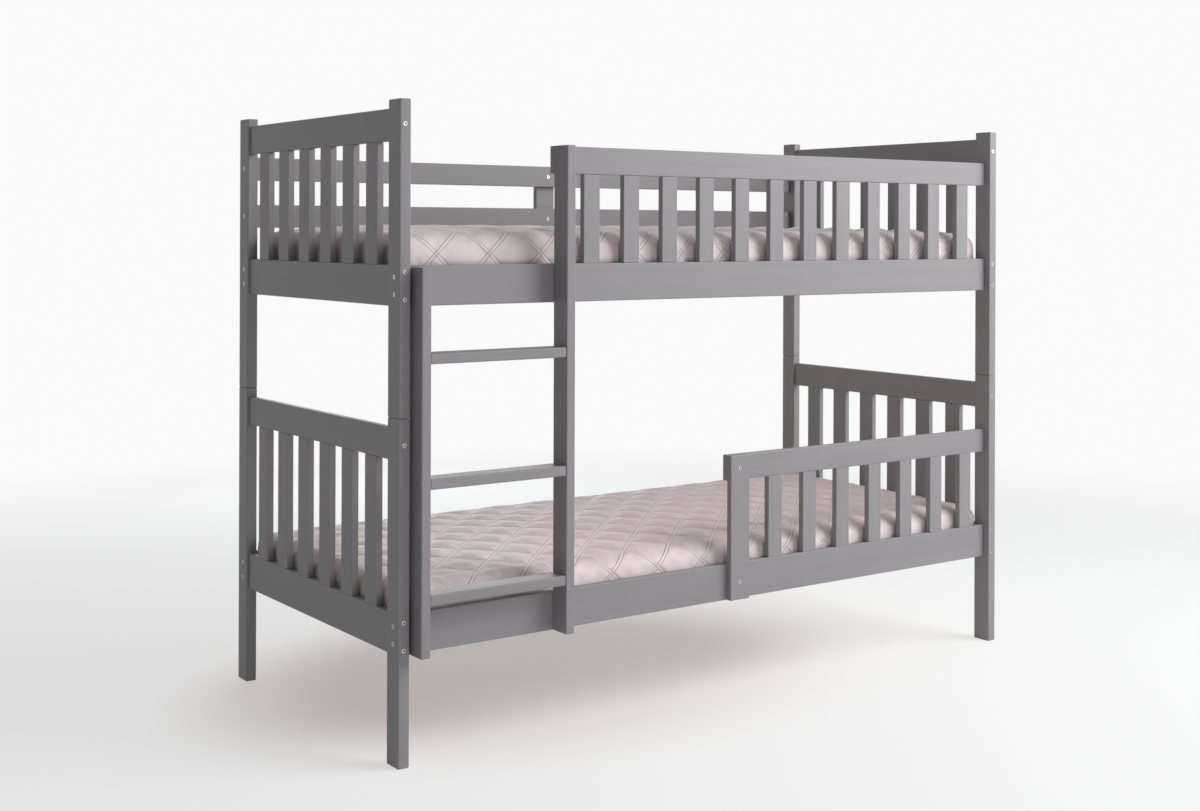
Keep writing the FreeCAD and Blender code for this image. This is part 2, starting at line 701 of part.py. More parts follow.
def stile(name, length, x, outer, insert_levels):
    body = block(name, "stile_thickness", "stile_depth", length, "post_round")
    way = ("x+", "0") if outer == "left" else ("x-", "stile_thickness")
    inner_way = ("x-", "stile_thickness") if outer == "left" else ("x+", "0")
    local_levels = [f"{middle} - (lower_rail_z)" for middle in rung_middles]
    capped_hole(body, "rung_bolt_hole", *way, "stile_thickness",
                [("rung_bolt_inset", level) for level in local_levels])
    drill(body, "rung_dowel_hole", *inner_way, "rung_dowel_reach", dowel_hole,
          [("stile_depth - rung_bolt_inset", level) for level in local_levels])
    drill(body, "insert_hole", "y-", "stile_depth", "insert_length", "nut_hole",
          [("stile_thickness / 2", f"{level} - (lower_rail_z)") for level in insert_levels])
    place(body, x, "stile_y", "lower_rail_z")
    return keep(body)


ladder_levels = {
    "left": [f"upper_rail_z + {half_rail}"],
    "right": [f"upper_rail_z + {half_rail}", guard_levels["upper"]],
}
for side, levels in ladder_levels.items():
    stile(f"ladder_{side}_stile", f"{side}_stile_length", f"{side}_stile_x", side, levels)

half_rung = "rung_thickness / 2"
rung_nut_depth = f"{half_rung} + nut_length / 2"
rung_x = "left_stile_x + stile_thickness"
for name, level in zip(("bottom", "middle", "top"), rung_levels):
    rung = block(f"ladder_{name}_rung", "rung_length", "rung_depth", "rung_thickness", "post_round")
    for end, start, direction in (("near", "0", "x+"), ("far", "rung_length", "x-")):
        bolt_spot = [("rung_bolt_y - rung_y", half_rung)]
        dowel_spot = [("rung_dowel_y - rung_y", half_rung)]
        nut_x = "nut_reach" if end == "near" else "rung_length - nut_reach"
        drill(rung, end + "_bolt_hole", direction, start, "end_hole_depth", "bolt_hole", bolt_spot)
        drill(rung, end + "_dowel_hole", direction, start, "rung_dowel_reach", dowel_hole, dowel_spot)
        drill(rung, end + "_nut_hole", "z+", "0", rung_nut_depth, "nut_hole",
              [(nut_x, "rung_bolt_y - rung_y")])
    place(rung, rung_x, "rung_y", level)
    keep(rung)

# Bolts, nuts, dowels and pins
rung_bolt_spots = []
rung_nut_spots = []
rung_dowel_spots = []
rung_dowel = cylinder("rung_dowel", "rung_dowel_diameter", "2 * rung_dowel_reach")
for level in rung_middles:
    left_head = "left_stile_x + bolt_recess"
    right_head = "right_stile_x + stile_thickness - bolt_recess"
    rung_bolt_spots.append((left_head, "rung_bolt_y", level, towards["x+"]))
    rung_bolt_spots.append((right_head, "rung_bolt_y", level, towards["x-"]))
    rung_nut_spots.append((f"{rung_x} + nut_reach", "rung_bolt_y", level, no_turn))
    rung_nut_spots.append(("right_stile_x - nut_reach", "rung_bolt_y", level, no_turn))
    rung_dowel_spots.append((f"{rung_x} - rung_dowel_reach", "rung_dowel_y", level, towards["x+"]))
    rung_dowel_spots.append(("right_stile_x + rung_dowel_reach", "rung_dowel_y", level, towards["x-"]))
copies("ladder_rung_bolts", (rung_bolt, rung_bolt_spots))
copies("ladder_rung_dowels", (rung_dowel, rung_dowel_spots))

lower_rail_middle = f"lower_rail_z + {half_rail}"
upper_rail_middle = f"upper_rail_z + {half_rail}"
guard_bolt_y = "front_rail_y - board_thickness + bolt_recess"
guard_bolt_levels = [lower_rail_middle, guard_levels["lower"]]
guard_bolt_spots = [(guard_post_middle, guard_bolt_y, z, towards["y+"]) for z in guard_bolt_levels]
copies("lower_guard_bolts", (short_bolt, guard_bolt_spots))
ladder_spots = [(stile_middles[0], upper_rail_middle),
                (stile_middles[1], upper_rail_middle),
                (stile_middles[1], guard_levels["upper"])]
ladder_bolt_y = "front_rail_y + board_thickness - bolt_recess"
copies("ladder_bolts", (short_bolt, [(x, ladder_bolt_y, z, towards["y-"]) for x, z in ladder_spots]))
upright_bolt_spots = [(upright_middle, "rear_rail_y + bolt_recess", z, towards["y+"]) for z in upright_levels]
copies("rear_guard_bolts", (short_bolt, upright_bolt_spots))
insert_spots = {
    "lower": [(guard_post_middle, "front_rail_y", z, towards["y+"]) for z in guard_bolt_levels],
    "upper": [(x, "front_rail_y", z, towards["y-"]) for x, z in ladder_spots],
}
for level in upright_levels:
    insert_spots["upper"].append((upright_middle, "rear_rail_y + board_thickness", level, towards["y+"]))

for tier in ("lower", "upper"):
    panel_bolt_spots = []
    rail_bolt_spots = []
    nut_spots = []
    for corner, (x, y) in corners.items():
        left = x == "left_x"
        front = y == "front_y"
        post_x = "left_post_x" if left else "right_post_x"
        post_y = "front_post_y" if front else "rear_post_y"
        board_x = ("left_board_x" if left else "right_board_x") + " + board_thickness / 2"
        rail_y = ("front_rail_y" if front else "rear_rail_y") + " + board_thickness / 2"
        head_x = "left_x + bolt_recess" if left else "right_x - bolt_recess"
        head_y = "front_y + bolt_recess" if front else "rear_y - bolt_recess"
        nut_x = "inner_left + nut_reach" if left else "inner_right - nut_reach"
        nut_y = "inner_front + nut_reach" if front else "inner_rear - nut_reach"
        for level in panel_levels[tier]:
            panel_bolt_spots.append((post_x, head_y, level, towards["y+" if front else "y-"]))
            nut_spots.append((board_x, nut_y, level, panel_nut_turn))
        for level in post_rail_levels[tier, corner]:
            rail_bolt_spots.append((head_x, post_y, level, towards["x+" if left else "x-"]))
            nut_spots.append((nut_x, rail_y, level, rail_nut_turn))
    if tier == "upper":
        nut_spots += rung_nut_spots
    copies(f"{tier}_panel_bolts", (panel_bolt, panel_bolt_spots))
    copies(f"{tier}_rail_bolts", (rail_bolt, rail_bolt_spots))
    copies(f"{tier}_nuts", (barrel_nut, nut_spots), (insert_nut, insert_spots[tier]))

post_pin = cylinder("post_pin", "pin_diameter", "2 * pin_reach")
pin_z = "lower_post_height - pin_reach"
post_middles = [(x, y) for x in ("left_post_x", "right_post_x") for y in ("front_post_y", "rear_post_y")]
copies("post_pins", (post_pin, [(x, y, pin_z, no_turn) for x, y in post_middles]))


# Lower mattress: crowned both ways, with drawn-in sides, and sewn into diamonds by channels across its top
belly_height_share = 0.5
hip_shares = (0.1, 0.76)
shoulder_shares = (0.4, 0.935)


def mattress_profile(half, rise):
    # half-outline of foot, side and shoulder arcs on each side of one long crown arc
    side = sizes["lower_mattress_side_height"]
    shoulder = sizes["mattress_shoulder"]
    foot = (half - sizes["mattress_foot_draw"], 0)
    belly = (half, belly_height_share * side)
    hip = (half - hip_shares[0] * shoulder, hip_shares[1] * side)
    turn = (half - shoulder_shares[0] * shoulder, shoulder_shares[1] * side)
    brow = (half - shoulder, side)
    crown = (0, side + rise)
    arcs = [(foot, belly, hip), (hip, turn, brow), (brow, crown, (-brow[0], side))]
    for arc in (arcs[1], arcs[0]):
        arcs.append([(-across, height) for across, height in reversed(arc)])
    edges = []
    for arc in arcs:
        edges.append(Part.Arc(*[FreeCAD.Vector(across, 0, height) for across, height in arc]).toShape())
    edges.append(Part.LineSegment(edges[-1].Vertexes[-1].Point, edges[0].Vertexes[0].Point).toShape())
    return Part.Face(Part.Wire(edges))


def rounded_pad(height):
    length = sizes["mattress_length"]
    width = sizes["mattress_width"]
    pad = Part.makeBox(length, width, height, FreeCAD.Vector(-length / 2, -width / 2, 0))
    upright_edges = [edge for edge in pad.Edges if edge.BoundBox.ZLength > height / 2]
    return pad.makeFillet(sizes["mattress_corner"], upright_edges)


def mattress_shell(crown):
    length = sizes["mattress_length"]
    width = sizes["mattress_width"]
    rise = sizes["mattress_crown_rise"]
    span = length / 2 - sizes["mattress_shoulder"]
    level_share = (span - sizes["mattress_crown_run"]) / span
    lengthwise = mattress_profile(length / 2, rise / (1 - level_share ** 2))
    lengthwise.translate(FreeCAD.Vector(0, -width / 2, 0))
    crosswise = mattress_profile(width / 2, rise)
    crosswise.translate(FreeCAD.Vector(0, -length / 2, 0))
    long_form = lengthwise.extrude(FreeCAD.Vector(0, width, 0))
    cross_form = crosswise.extrude(FreeCAD.Vector(0, length, 0))
    cross_form.rotate(FreeCAD.Vector(), up, 90)
    return long_form.common(cross_form).common(rounded_pad(crown))


def quilted_mattress():
    crown = sizes["lower_mattress_side_height"] + sizes["mattress_crown_rise"]
    quilt = mattress_shell(crown)
    core = quilt.copy()
    core.translate(FreeCAD.Vector(0, 0, -sizes["quilt_channel_depth"]))
    wide = sizes["quilt_channel_width"]
    diamond = sizes["quilt_diamond"]
    reach = sizes["mattress_length"] + sizes["mattress_width"]
    rows = math.ceil(reach / 2 / diamond)
    for angle in (45, -45):
        channels = []
        for row in range(-rows, rows):
            crossing = row * diamond + sizes["quilt_shift"]
            if abs(crossing) < reach / 2 - sizes["quilt_corner_room"]:
                strip = Part.makeBox(reach, wide, crown, FreeCAD.Vector(-reach / 2, -wide / 2, crown / 2))
                strip.rotate(FreeCAD.Vector(), up, angle)
                strip.translate(FreeCAD.Vector(crossing, 0, 0))
                channels.append(strip.cut(core))
        quilt = quilt.cut(channels)
    return quilt


# Upper mattress: a plain pad with its corners and upper edges rounded
def plain_mattress():
    height = sizes["upper_mattress_height"]
    pad = rounded_pad(height)
    upper_edges = [edge for edge in pad.Edges if edge.BoundBox.ZMin > height / 2]
    return pad.makeFillet(sizes["upper_mattress_edge_round"], upper_edges)


for tier, form in (("lower", quilted_mattress()), ("upper", plain_mattress())):
    mattress = doc.addObject("Part::Feature", f"{tier}_mattress")
    mattress.Shape = form
    place(mattress, "0", "middle_y",
          f"{tier}_rail_z + ledger_rise + ledger_height + base_slat_thickness + mattress_lift")
    keep(mattress)

doc.recompute()
for item in doc.Objects:
    if "Invalid" in item.State or "Error" in item.State:
        raise RuntimeError(f"{item.Name} failed to compute")
for item in nodes:
    if item.Shape.isNull() or not item.Shape.isValid():
        raise RuntimeError(f"{item.Label} has no valid shape")
os.makedirs("parts", exist_ok=True)
for item in nodes:
    item.Shape.exportStep(os.path.join("parts", item.Label + ".step"))
print(len(nodes), "parts written")
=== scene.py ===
import math

import bmesh
import bpy
from mathutils import Matrix, Vector


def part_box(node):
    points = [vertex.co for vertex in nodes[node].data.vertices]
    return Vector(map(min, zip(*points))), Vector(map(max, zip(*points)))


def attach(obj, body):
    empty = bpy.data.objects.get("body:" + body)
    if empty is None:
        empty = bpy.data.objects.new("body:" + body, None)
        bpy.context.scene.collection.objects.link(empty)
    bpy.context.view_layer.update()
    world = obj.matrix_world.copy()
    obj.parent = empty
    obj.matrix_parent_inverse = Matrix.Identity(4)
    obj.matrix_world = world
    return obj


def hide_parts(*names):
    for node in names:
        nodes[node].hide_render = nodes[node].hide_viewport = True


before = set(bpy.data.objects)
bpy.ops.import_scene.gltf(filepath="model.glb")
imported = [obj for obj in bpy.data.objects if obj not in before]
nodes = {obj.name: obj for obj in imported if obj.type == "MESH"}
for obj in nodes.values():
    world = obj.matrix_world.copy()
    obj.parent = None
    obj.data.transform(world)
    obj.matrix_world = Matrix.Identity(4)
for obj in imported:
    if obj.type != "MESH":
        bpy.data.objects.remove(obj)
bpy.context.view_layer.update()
scene = bpy.context.scene
scene.view_settings.view_transform = "Standard"
print("frame loaded,", len(nodes), "nodes")


# a socket that takes part in sums, each step of a sum being one Math node
class Wire:
    def __init__(self, tree, socket):
        self.tree = tree
        self.socket = socket

    def step(self, operation, *values):
        node = self.tree.nodes.new("ShaderNodeMath")
        node.operation = operation
        for slot, value in zip(node.inputs, values):
            if isinstance(value, Wire):
                self.tree.links.new(value.socket, slot)
            else:
                slot.default_value = value
        return Wire(self.tree, node.outputs[0])

    def __add__(self, other):
        return self.step("ADD", self, other)

    def __sub__(self, other):
        return self.step("SUBTRACT", self, other)

    def __rsub__(self, other):
        return self.step("SUBTRACT", other, self)

    def __mul__(self, other):
        return self.step("MULTIPLY", self, other)

    def __truediv__(self, other):
        return self.step("DIVIDE", self, other)

    def __rtruediv__(self, other):
        return self.step("DIVIDE", other, self)

    def __pow__(self, other):
        return self.step("POWER", self, other)

    def __abs__(self):
        return self.step("ABSOLUTE", self)

    __radd__ = __add__
    __rmul__ = __mul__


class Finish:
    def __init__(self, name):
        self.material = bpy.data.materials.new(name)
        self.material.use_nodes = True
        self.tree = self.material.node_tree
        self.tree.nodes.clear()

    # any node: its type, its settings, then its sockets by name or number
    def add(self, kind, settings, sockets, out=0):
        node = self.tree.nodes.new("ShaderNode" + kind)
        for key, value in settings.items():
            setattr(node, key, value)
        for key, value in sockets.items():
            if isinstance(value, Wire):
                self.tree.links.new(value.socket, node.inputs[key])
            else:
                node.inputs[key].default_value = value
        return Wire(self.tree, node.outputs[out])

    def noise(self, vector, scale, detail=4, roughness=0.55):
        sockets = {"Vector": vector, "Scale": scale, "Detail": detail, "Roughness": roughness}
        return self.add("TexNoise", {}, sockets, "Fac")

    def stretched(self, vector, scale):
        return self.add("Mapping", {}, {"Vector": vector, "Scale": scale})

    def blend(self, mask, one, other):
        settings = {"data_type": "RGBA", "clamp_factor": True}
        return self.add("Mix", settings, {0: mask, 6: one, 7: other}, 2)

    def between(self, value, low, high):
        sockets = {"Value": value, "From Min": low, "From Max": high}
        return self.add("MapRange", {"interpolation_type": "SMOOTHSTEP"}, sockets)

    def bump(self, height, distance, strength=1.0, normal=None):
        sockets = {"Height": height, "Distance": distance, "Strength": strength}
        if normal:
            sockets["Normal"] = normal
        return self.add("Bump", {}, sockets)

    def surface(self, shader):
        node = self.tree.nodes.new("ShaderNodeOutputMaterial")
        self.tree.links.new(shader.socket, node.inputs["Surface"])
        return self.material


def color(red, green, blue):
    return (red, green, blue, 1)


# Painted wood: satin grey over pine, the grain showing faintly along each board
paint = {
    "deep": color(0.272, 0.262, 0.271),
    "pale": color(0.296, 0.286, 0.296),
    "roughness": 0.46,
    "specular": 0.42,
    "grainRun": 1.6,
    "grainAcross": 55,
    "poreRun": 14,
    "poreAcross": 420,
    "cloud": 5,
    "grainShare": 0.62,
    "toneSpan": (0.34, 0.66),
    "grainRough": 0.16,
    "cloudRough": 0.1,
    "grainRelief": 0.00035,
    "poreRelief": 0.00012,
    "reliefStrength": 0.6,
}


def greyPaint(axis):
    finish = Finish("greyPaint" + axis.upper())
    place = finish.add("TexCoord", {}, {}, "Object")
    along = "xyz".index(axis)
    grainScale = [paint["grainAcross"]] * 3
    grainScale[along] = paint["grainRun"]
    poreScale = [paint["poreAcross"]] * 3
    poreScale[along] = paint["poreRun"]
    grain = finish.noise(finish.stretched(place, grainScale), 1, 5, 0.6)
    pores = finish.noise(finish.stretched(place, poreScale), 1, 3, 0.5)
    cloudy = finish.noise(place, paint["cloud"], 3)
    tone = grain * paint["grainShare"] + cloudy * (1 - paint["grainShare"])
    shade = finish.blend(finish.between(tone, *paint["toneSpan"]), paint["deep"], paint["pale"])
    rough = paint["roughness"] + (grain - 0.5) * paint["grainRough"] + (cloudy - 0.5) * paint["cloudRough"]
    relief = finish.bump(grain, paint["grainRelief"], paint["reliefStrength"])
    relief = finish.bump(pores, paint["poreRelief"], paint["reliefStrength"], relief)
    shader = finish.add("BsdfPrincipled", {}, {
        "Base Color": shade, "Roughness": rough, "Normal": relief,
        "Specular IOR Level": paint["specular"],
    })
    return finish.surface(shader)


# Bare planed pine under the mattresses
pine = {
    "early": color(0.68, 0.50, 0.31),
    "late": color(0.50, 0.31, 0.15),
    "roughness": 0.62,
    "ringRun": 0.9,
    "ringAcross": 26,
    "ringCount": 44,
    "lateSharpness": 3,
    "lateRough": 0.12,
    "ringRelief": 0.0004,
    "reliefStrength": 0.5,
}


def barePine(axis):
    finish = Finish("barePine" + axis.upper())
    place = finish.add("TexCoord", {}, {}, "Object")
    ringScale = [pine["ringAcross"]] * 3
    ringScale["xyz".index(axis)] = pine["ringRun"]
    swirl = finish.noise(finish.stretched(place, ringScale), 1, 3, 0.5)
    rings = finish.add("Math", {"operation": "SINE"}, {0: swirl * pine["ringCount"]}) * 0.5 + 0.5
    late = rings ** pine["lateSharpness"]
    shade = finish.blend(late, pine["early"], pine["late"])
    rough = pine["roughness"] - late * pine["lateRough"]
    shader = finish.add("BsdfPrincipled", {}, {
        "Base Color": shade, "Roughness": rough,
        "Normal": finish.bump(late, pine["ringRelief"], pine["reliefStrength"]),
    })
    return finish.surface(shader)


# Zinc plated bolts, nuts, screws and pins
zinc = {
    "bright": color(0.74, 0.74, 0.75),
    "dull": color(0.62, 0.62, 0.63),
    # painted shade for the head sockets and the ring round each head
    "recessShade": color(0.03, 0.03, 0.032),
    "recessShadeReach": 0.003,
    "recessShadeSpan": (0.4, 0.9),
    "roughness": 0.34,
    "spangle": 240,
    "spangleSpan": (0.35, 0.65),
    "scratch": 900,
    "scratchRough": 0.2,
    "scratchRelief": 0.00004,
    "reliefStrength": 0.5,
}


def zincPlate():
    finish = Finish("zincPlate")
    place = finish.add("TexCoord", {}, {}, "Object")
    spangle = finish.noise(place, zinc["spangle"], 2)
    scratch = finish.noise(place, zinc["scratch"], 2)
    shade = finish.blend(finish.between(spangle, *zinc["spangleSpan"]), zinc["dull"], zinc["bright"])
    # painted shade: the base colour goes near black where the occlusion mask finds the head sockets and the
    # narrow ring round each head in its bore
    recessShadeMask = finish.add("AmbientOcclusion", {"samples": 16}, {"Distance": zinc["recessShadeReach"]}, "AO")
    shade = finish.blend(finish.between(recessShadeMask, *zinc["recessShadeSpan"]), zinc["recessShade"], shade)
    rough = zinc["roughness"] + (scratch - 0.5) * zinc["scratchRough"]
    shader = finish.add("BsdfPrincipled", {}, {
        "Base Color": shade, "Roughness": rough, "Metallic": 1.0,
        "Normal": finish.bump(scratch, zinc["scratchRelief"], zinc["reliefStrength"]),
    })
    return finish.surface(shader)


paints = {axis: greyPaint(axis) for axis in "xyz"}
pines = {axis: barePine(axis) for axis in "xy"}
plating = zincPlate()

# which way the grain runs, by a word in the node's name, the first word that fits
grainWords = (
    ("ledger", pines["x"]), ("base_slats", pines["y"]), ("dowels", pines["x"]),
    ("bolts", plating), ("nuts", plating), ("screws", plating), ("pins", plating),
    ("post", paints["z"]), ("slats", paints["z"]), ("stile", paints["z"]), ("upright", paints["z"]),
    ("panel", paints["y"]), ("rail", paints["x"]), ("board", paints["x"]), ("rung", paints["x"]),
)
for name, node in nodes.items():
    if not name.endswith("mattress"):
        node.material_slots[0].material = next(look for word, look in grainWords if word in name)
print("wood, pine and zinc assigned")


# Quilted mattress: one sheet laid out flat on a diagonal grid, folded down over the
# sides, closed underneath and blown up between its sewn lines
quilt = {
    "diamond": 0.142,           # from crossing to crossing along the bed
    "cells": (0.036, 0.115, 0.22, 0.35, 0.5, 0.65, 0.78, 0.885, 0.964),
    "squareness": 6,            # of the plan corners, 2 would be round
    "footDraw": 0.004,          # how far the foot is drawn in
    "crownRise": 0.012,
    "crownRun": 0.18,           # distance from the ends over which the crown rises
    "sewnIn": 0.0045,           # depth of the sewn lines below the plain form
    "cornerCuts": 5,
    "mergeReach": 0.0015,
    "heldWidth": 0.0045,        # held on each side of a sewn line
    "heldFoot": 0.7,            # share of the side's height, from its shoulder down, that is free
    "pressure": 4.0,
    "slack": 0.022,             # share by which the cover is cut larger than the form
    "steps": 20,
    "swellCap": 0.010,
    "fill": 0.85,
    "quality": 5,
    "mass": 0.02,
    "tension": 15,
    "shear": 5,
    "bending": 0.05,
}
# height of the sides, rounding of their upper edge, how far they belly out, and where the
# rising and falling lines cross the bed's long middle
mattresses = {
    "lower_mattress": {
        "side": 0.101, "shoulder": 0.036, "belly": 0.007, "rising": 0.056, "falling": 0.056,
    },
    "upper_mattress": {
        "side": 0.122, "shoulder": 0.042, "belly": 0.002, "rising": 0.140, "falling": 0.122,
    },
}


def sewnDistance(u, v, mattress):
    # distance from the nearest sewn line of either direction
    nearest = quilt["diamond"]
    for across in (u - v - mattress["rising"], u + v - mattress["falling"]):
        off = across / quilt["diamond"]
        nearest = min(nearest, abs(off - round(off)) * quilt["diamond"] / math.sqrt(2))
    return nearest


def flatCover(halfLength, halfWidth, corner, mattress):
    # diagonal grid whose lines bunch at the sewn lines, trimmed to a rounded outline
    pitch = quilt["diamond"] / math.sqrt(2)
    cells = quilt["cells"]
    periods = math.ceil((halfLength + halfWidth) / math.sqrt(2) / pitch) + 1
    count = 2 * periods * len(cells)
    bm = bmesh.new()
    bmesh.ops.create_grid(bm, x_segments=count, y_segments=count, size=1)
    shifts = (mattress["rising"] / math.sqrt(2), mattress["falling"] / math.sqrt(2))
    for vert in bm.verts:
        for i in (0, 1):
            line = round((vert.co[i] + 1) / 2 * count)
            turn, stop = divmod(line, len(cells))
            vert.co[i] = (turn - periods + cells[stop]) * pitch + shifts[i]
    diagonal = Matrix.Rotation(math.radians(-45), 3, "Z")
    bmesh.ops.rotate(bm, verts=bm.verts, cent=(0, 0, 0), matrix=diagonal)
    bow = quilt["squareness"] / (quilt["squareness"] - 1)
    cuts = []
    for sideX in (1, -1):
        cuts.append((Vector((sideX * halfLength, 0, 0)), Vector((sideX, 0, 0))))
        cuts.append((Vector((0, sideX * halfWidth, 0)), Vector((0, sideX, 0))))
        for sideY in (1, -1):
            heart = Vector((sideX * (halfLength - corner), sideY * (halfWidth - corner), 0))
            for k in range(1, quilt["cornerCuts"] + 1):
                turn = math.pi / 2 * k / (quilt["cornerCuts"] + 1)
                way = Vector((sideX * math.cos(turn), sideY * math.sin(turn), 0))
                reach = corner * (math.cos(turn) ** bow + math.sin(turn) ** bow) ** (1 / bow)
                cuts.append((heart + way * reach, way))
    for spot, way in cuts:
        everything = bm.verts[:] + bm.edges[:] + bm.faces[:]
        bmesh.ops.bisect_plane(
            bm, geom=everything, dist=1e-5, plane_co=spot, plane_no=way, clear_outer=True)
    bmesh.ops.remove_doubles(bm, verts=bm.verts, dist=quilt["mergeReach"])
    return bm


def crownAt(x, y, halfLength, halfWidth):
    endRun = max(0, min(1, (halfLength - abs(x)) / quilt["crownRun"]))
    sideRun = min(1, abs(y) / halfWidth)
    return quilt["crownRise"] * (1 - (1 - endRun) ** 2) * (1 - sideRun ** 2)


def quiltedMattress(name):
    mattress = mattresses[name]
    low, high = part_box(name)
    halfLength = (high.x - low.x) / 2
    halfWidth = (high.y - low.y) / 2
    middle = Vector(((low.x + high.x) / 2, (low.y + high.y) / 2, low.z))
    shoulder, side, power = mattress["shoulder"], mattress["side"], quilt["squareness"]
    wall = side - shoulder
    reach = shoulder * math.pi / 2 + wall
    innerX, innerY = halfLength - shoulder, halfWidth - shoulder
    bm = flatCover(innerX + reach, innerY + reach, reach, mattress)

    # the flat place of each point is kept as the cover's own map, in metres from a crossing
    flat = bm.loops.layers.uv.new("cover")
    rising, falling = mattress["rising"], mattress["falling"]
    crossing = Vector((rising + falling, falling - rising)) / 2
    for face in bm.faces:
        for loop in face.loops:
            loop[flat].uv = loop.vert.co.xy - crossing
    sewn = {}
    for vert in bm.verts:
        u, v = vert.co.x, vert.co.y
        over = Vector((max(abs(u) - innerX, 0), max(abs(v) - innerY, 0)))
        run = (over.x ** power + over.y ** power) ** (1 / power)
        way = over / run if run > 0 else over
        run = min(run, reach)
        bend = min(math.pi / 2, run / shoulder)
        down = max(0, run - shoulder * math.pi / 2)
        out = shoulder * math.sin(bend) - quilt["footDraw"] * (down / wall) ** 2
        out += mattress["belly"] * math.sin(math.pi * run / reach)
        drop = shoulder * (1 - math.cos(bend)) + down
        x = math.copysign(min(abs(u), innerX) + way.x * out, u)
        y = math.copysign(min(abs(v), innerY) + way.y * out, v)
        sewn[vert] = (sewnDistance(u, v, mattress), down / wall)
        vert.co = (x, y, side - drop + crownAt(x, y, halfLength, halfWidth))
    rim = [edge for edge in bm.edges if edge.is_boundary]
    for edge in rim:
        for vert in edge.verts:
            vert.co.z = 0
    bmesh.ops.triangle_fill(bm, edges=rim, use_beauty=True)
    bmesh.ops.recalc_face_normals(bm, faces=bm.faces)

    # sewn lines and the foot are held, the rest is free to swell
    bm.normal_update()
    held = []
    for vert, (distance, foot) in sewn.items():
        vert.co -= vert.normal * quilt["sewnIn"] * (1 - foot)
        if distance < quilt["heldWidth"] or foot > quilt["heldFoot"]:
            held.append(vert)
    bm.verts.index_update()
    held = [vert.index for vert in held]
    bmesh.ops.translate(bm, verts=bm.verts, vec=middle)
    mesh = bpy.data.meshes.new(name + "_cover")
    bm.to_mesh(mesh)
    bm.free()
    for face in mesh.polygons:
        face.use_smooth = True
    cover = bpy.data.objects.new(name + "_cover", mesh)
    scene.collection.objects.link(cover)
    group = cover.vertex_groups.new(name="sewn")
    group.add(held, 1.0, "REPLACE")
    return cover


def swell(cover):
    # cloth blown up between the held lines, each point moving no further than the cap
    start = [vert.co.copy() for vert in cover.data.vertices]
    modifier = cover.modifiers.new("swell", "CLOTH")
    cloth = modifier.settings
    cloth.quality = quilt["quality"]
    cloth.mass = quilt["mass"]
    cloth.tension_stiffness = cloth.compression_stiffness = quilt["tension"]
    cloth.shear_stiffness = quilt["shear"]
    cloth.bending_stiffness = quilt["bending"]
    cloth.use_pressure = True
    cloth.uniform_pressure_force = quilt["pressure"]
    cloth.shrink_min = -quilt["slack"]
    cloth.vertex_group_mass = "sewn"
    cloth.effector_weights.gravity = 0
    for step in range(1, quilt["steps"] + 1):
        scene.frame_set(step)
    posed = cover.evaluated_get(bpy.context.evaluated_depsgraph_get())
    moved = [vert.co.copy() for vert in posed.data.vertices]
    cover.modifiers.remove(modifier)
    scene.frame_set(1)
    furthest = 0
    for vert, old, new in zip(cover.data.vertices, start, moved):
        shift = new - old
        furthest = max(furthest, shift.length)
        if shift.length > quilt["swellCap"]:
            shift *= quilt["swellCap"] / shift.length
        vert.co = old + shift
    print("swell", cover.name, "moved up to", round(furthest * 1000, 1), "mm")


# Cover cloth: a fine slanting weave, with a double row of stitches along each sewn line; the sewn lines
# carry painted shade, the raised band between them a painted highlight, and the tone follows the puckers as
# painted shade
cover = {
    "light": color(0.870, 0.748, 0.760),
    "dark": color(0.766, 0.640, 0.652),
    # painted highlight for the raised band along each sewn line
    "thread": color(0.930, 0.850, 0.854),
    # painted shade for the sunken sewn lines, broken into stitches
    "stitchShade": color(0.440, 0.350, 0.356),
    "roughness": 0.5,
    "slubRough": 0.2,
    "bandRough": 0.06,
    "sheen": 0.25,
    "sheenRoughness": 0.5,
    "specular": 0.35,
    "cloud": 9,
    "slub": (40, 900, 1),
    "toneSpan": (0.3, 0.7),
    # painted shade of the puckers
    "puckerShadeTone": 0.25,
    "weave": 0.0011,
    "weaveSlant": 0.35,
    "weaveRelief": 0.00012,
    "weaveStrength": 0.4,
    "stitchPitch": 0.0045,
    "stitchStart": 10,          # added for the same reason as clear below
    "stitchSpan": (0.0003, 0.0012),
    "stitchGap": 0.3,           # how far the line fades between stitches
    "lineApart": 0.0080,
    "lineSpan": (0.0002, 0.0017),
    "stitchShadeShow": 0.58,
    "lineRelief": 0.0022,
    "bandSpan": (0.3, 0.75),    # edge of the band, as a share of lineApart
    "bandHighlightShow": 0.55,
    "bandRelief": 0.6,
    "puckerAcross": 9,
    "puckerAlong": 36,
    "puckerSpan": (0.004, 0.045),
    "puckerApart": 3.0,
    "puckerRelief": 0.0036,
    "reliefStrength": 0.8,
    "clear": 40,                # diamonds added so that no place on the map is negative
}


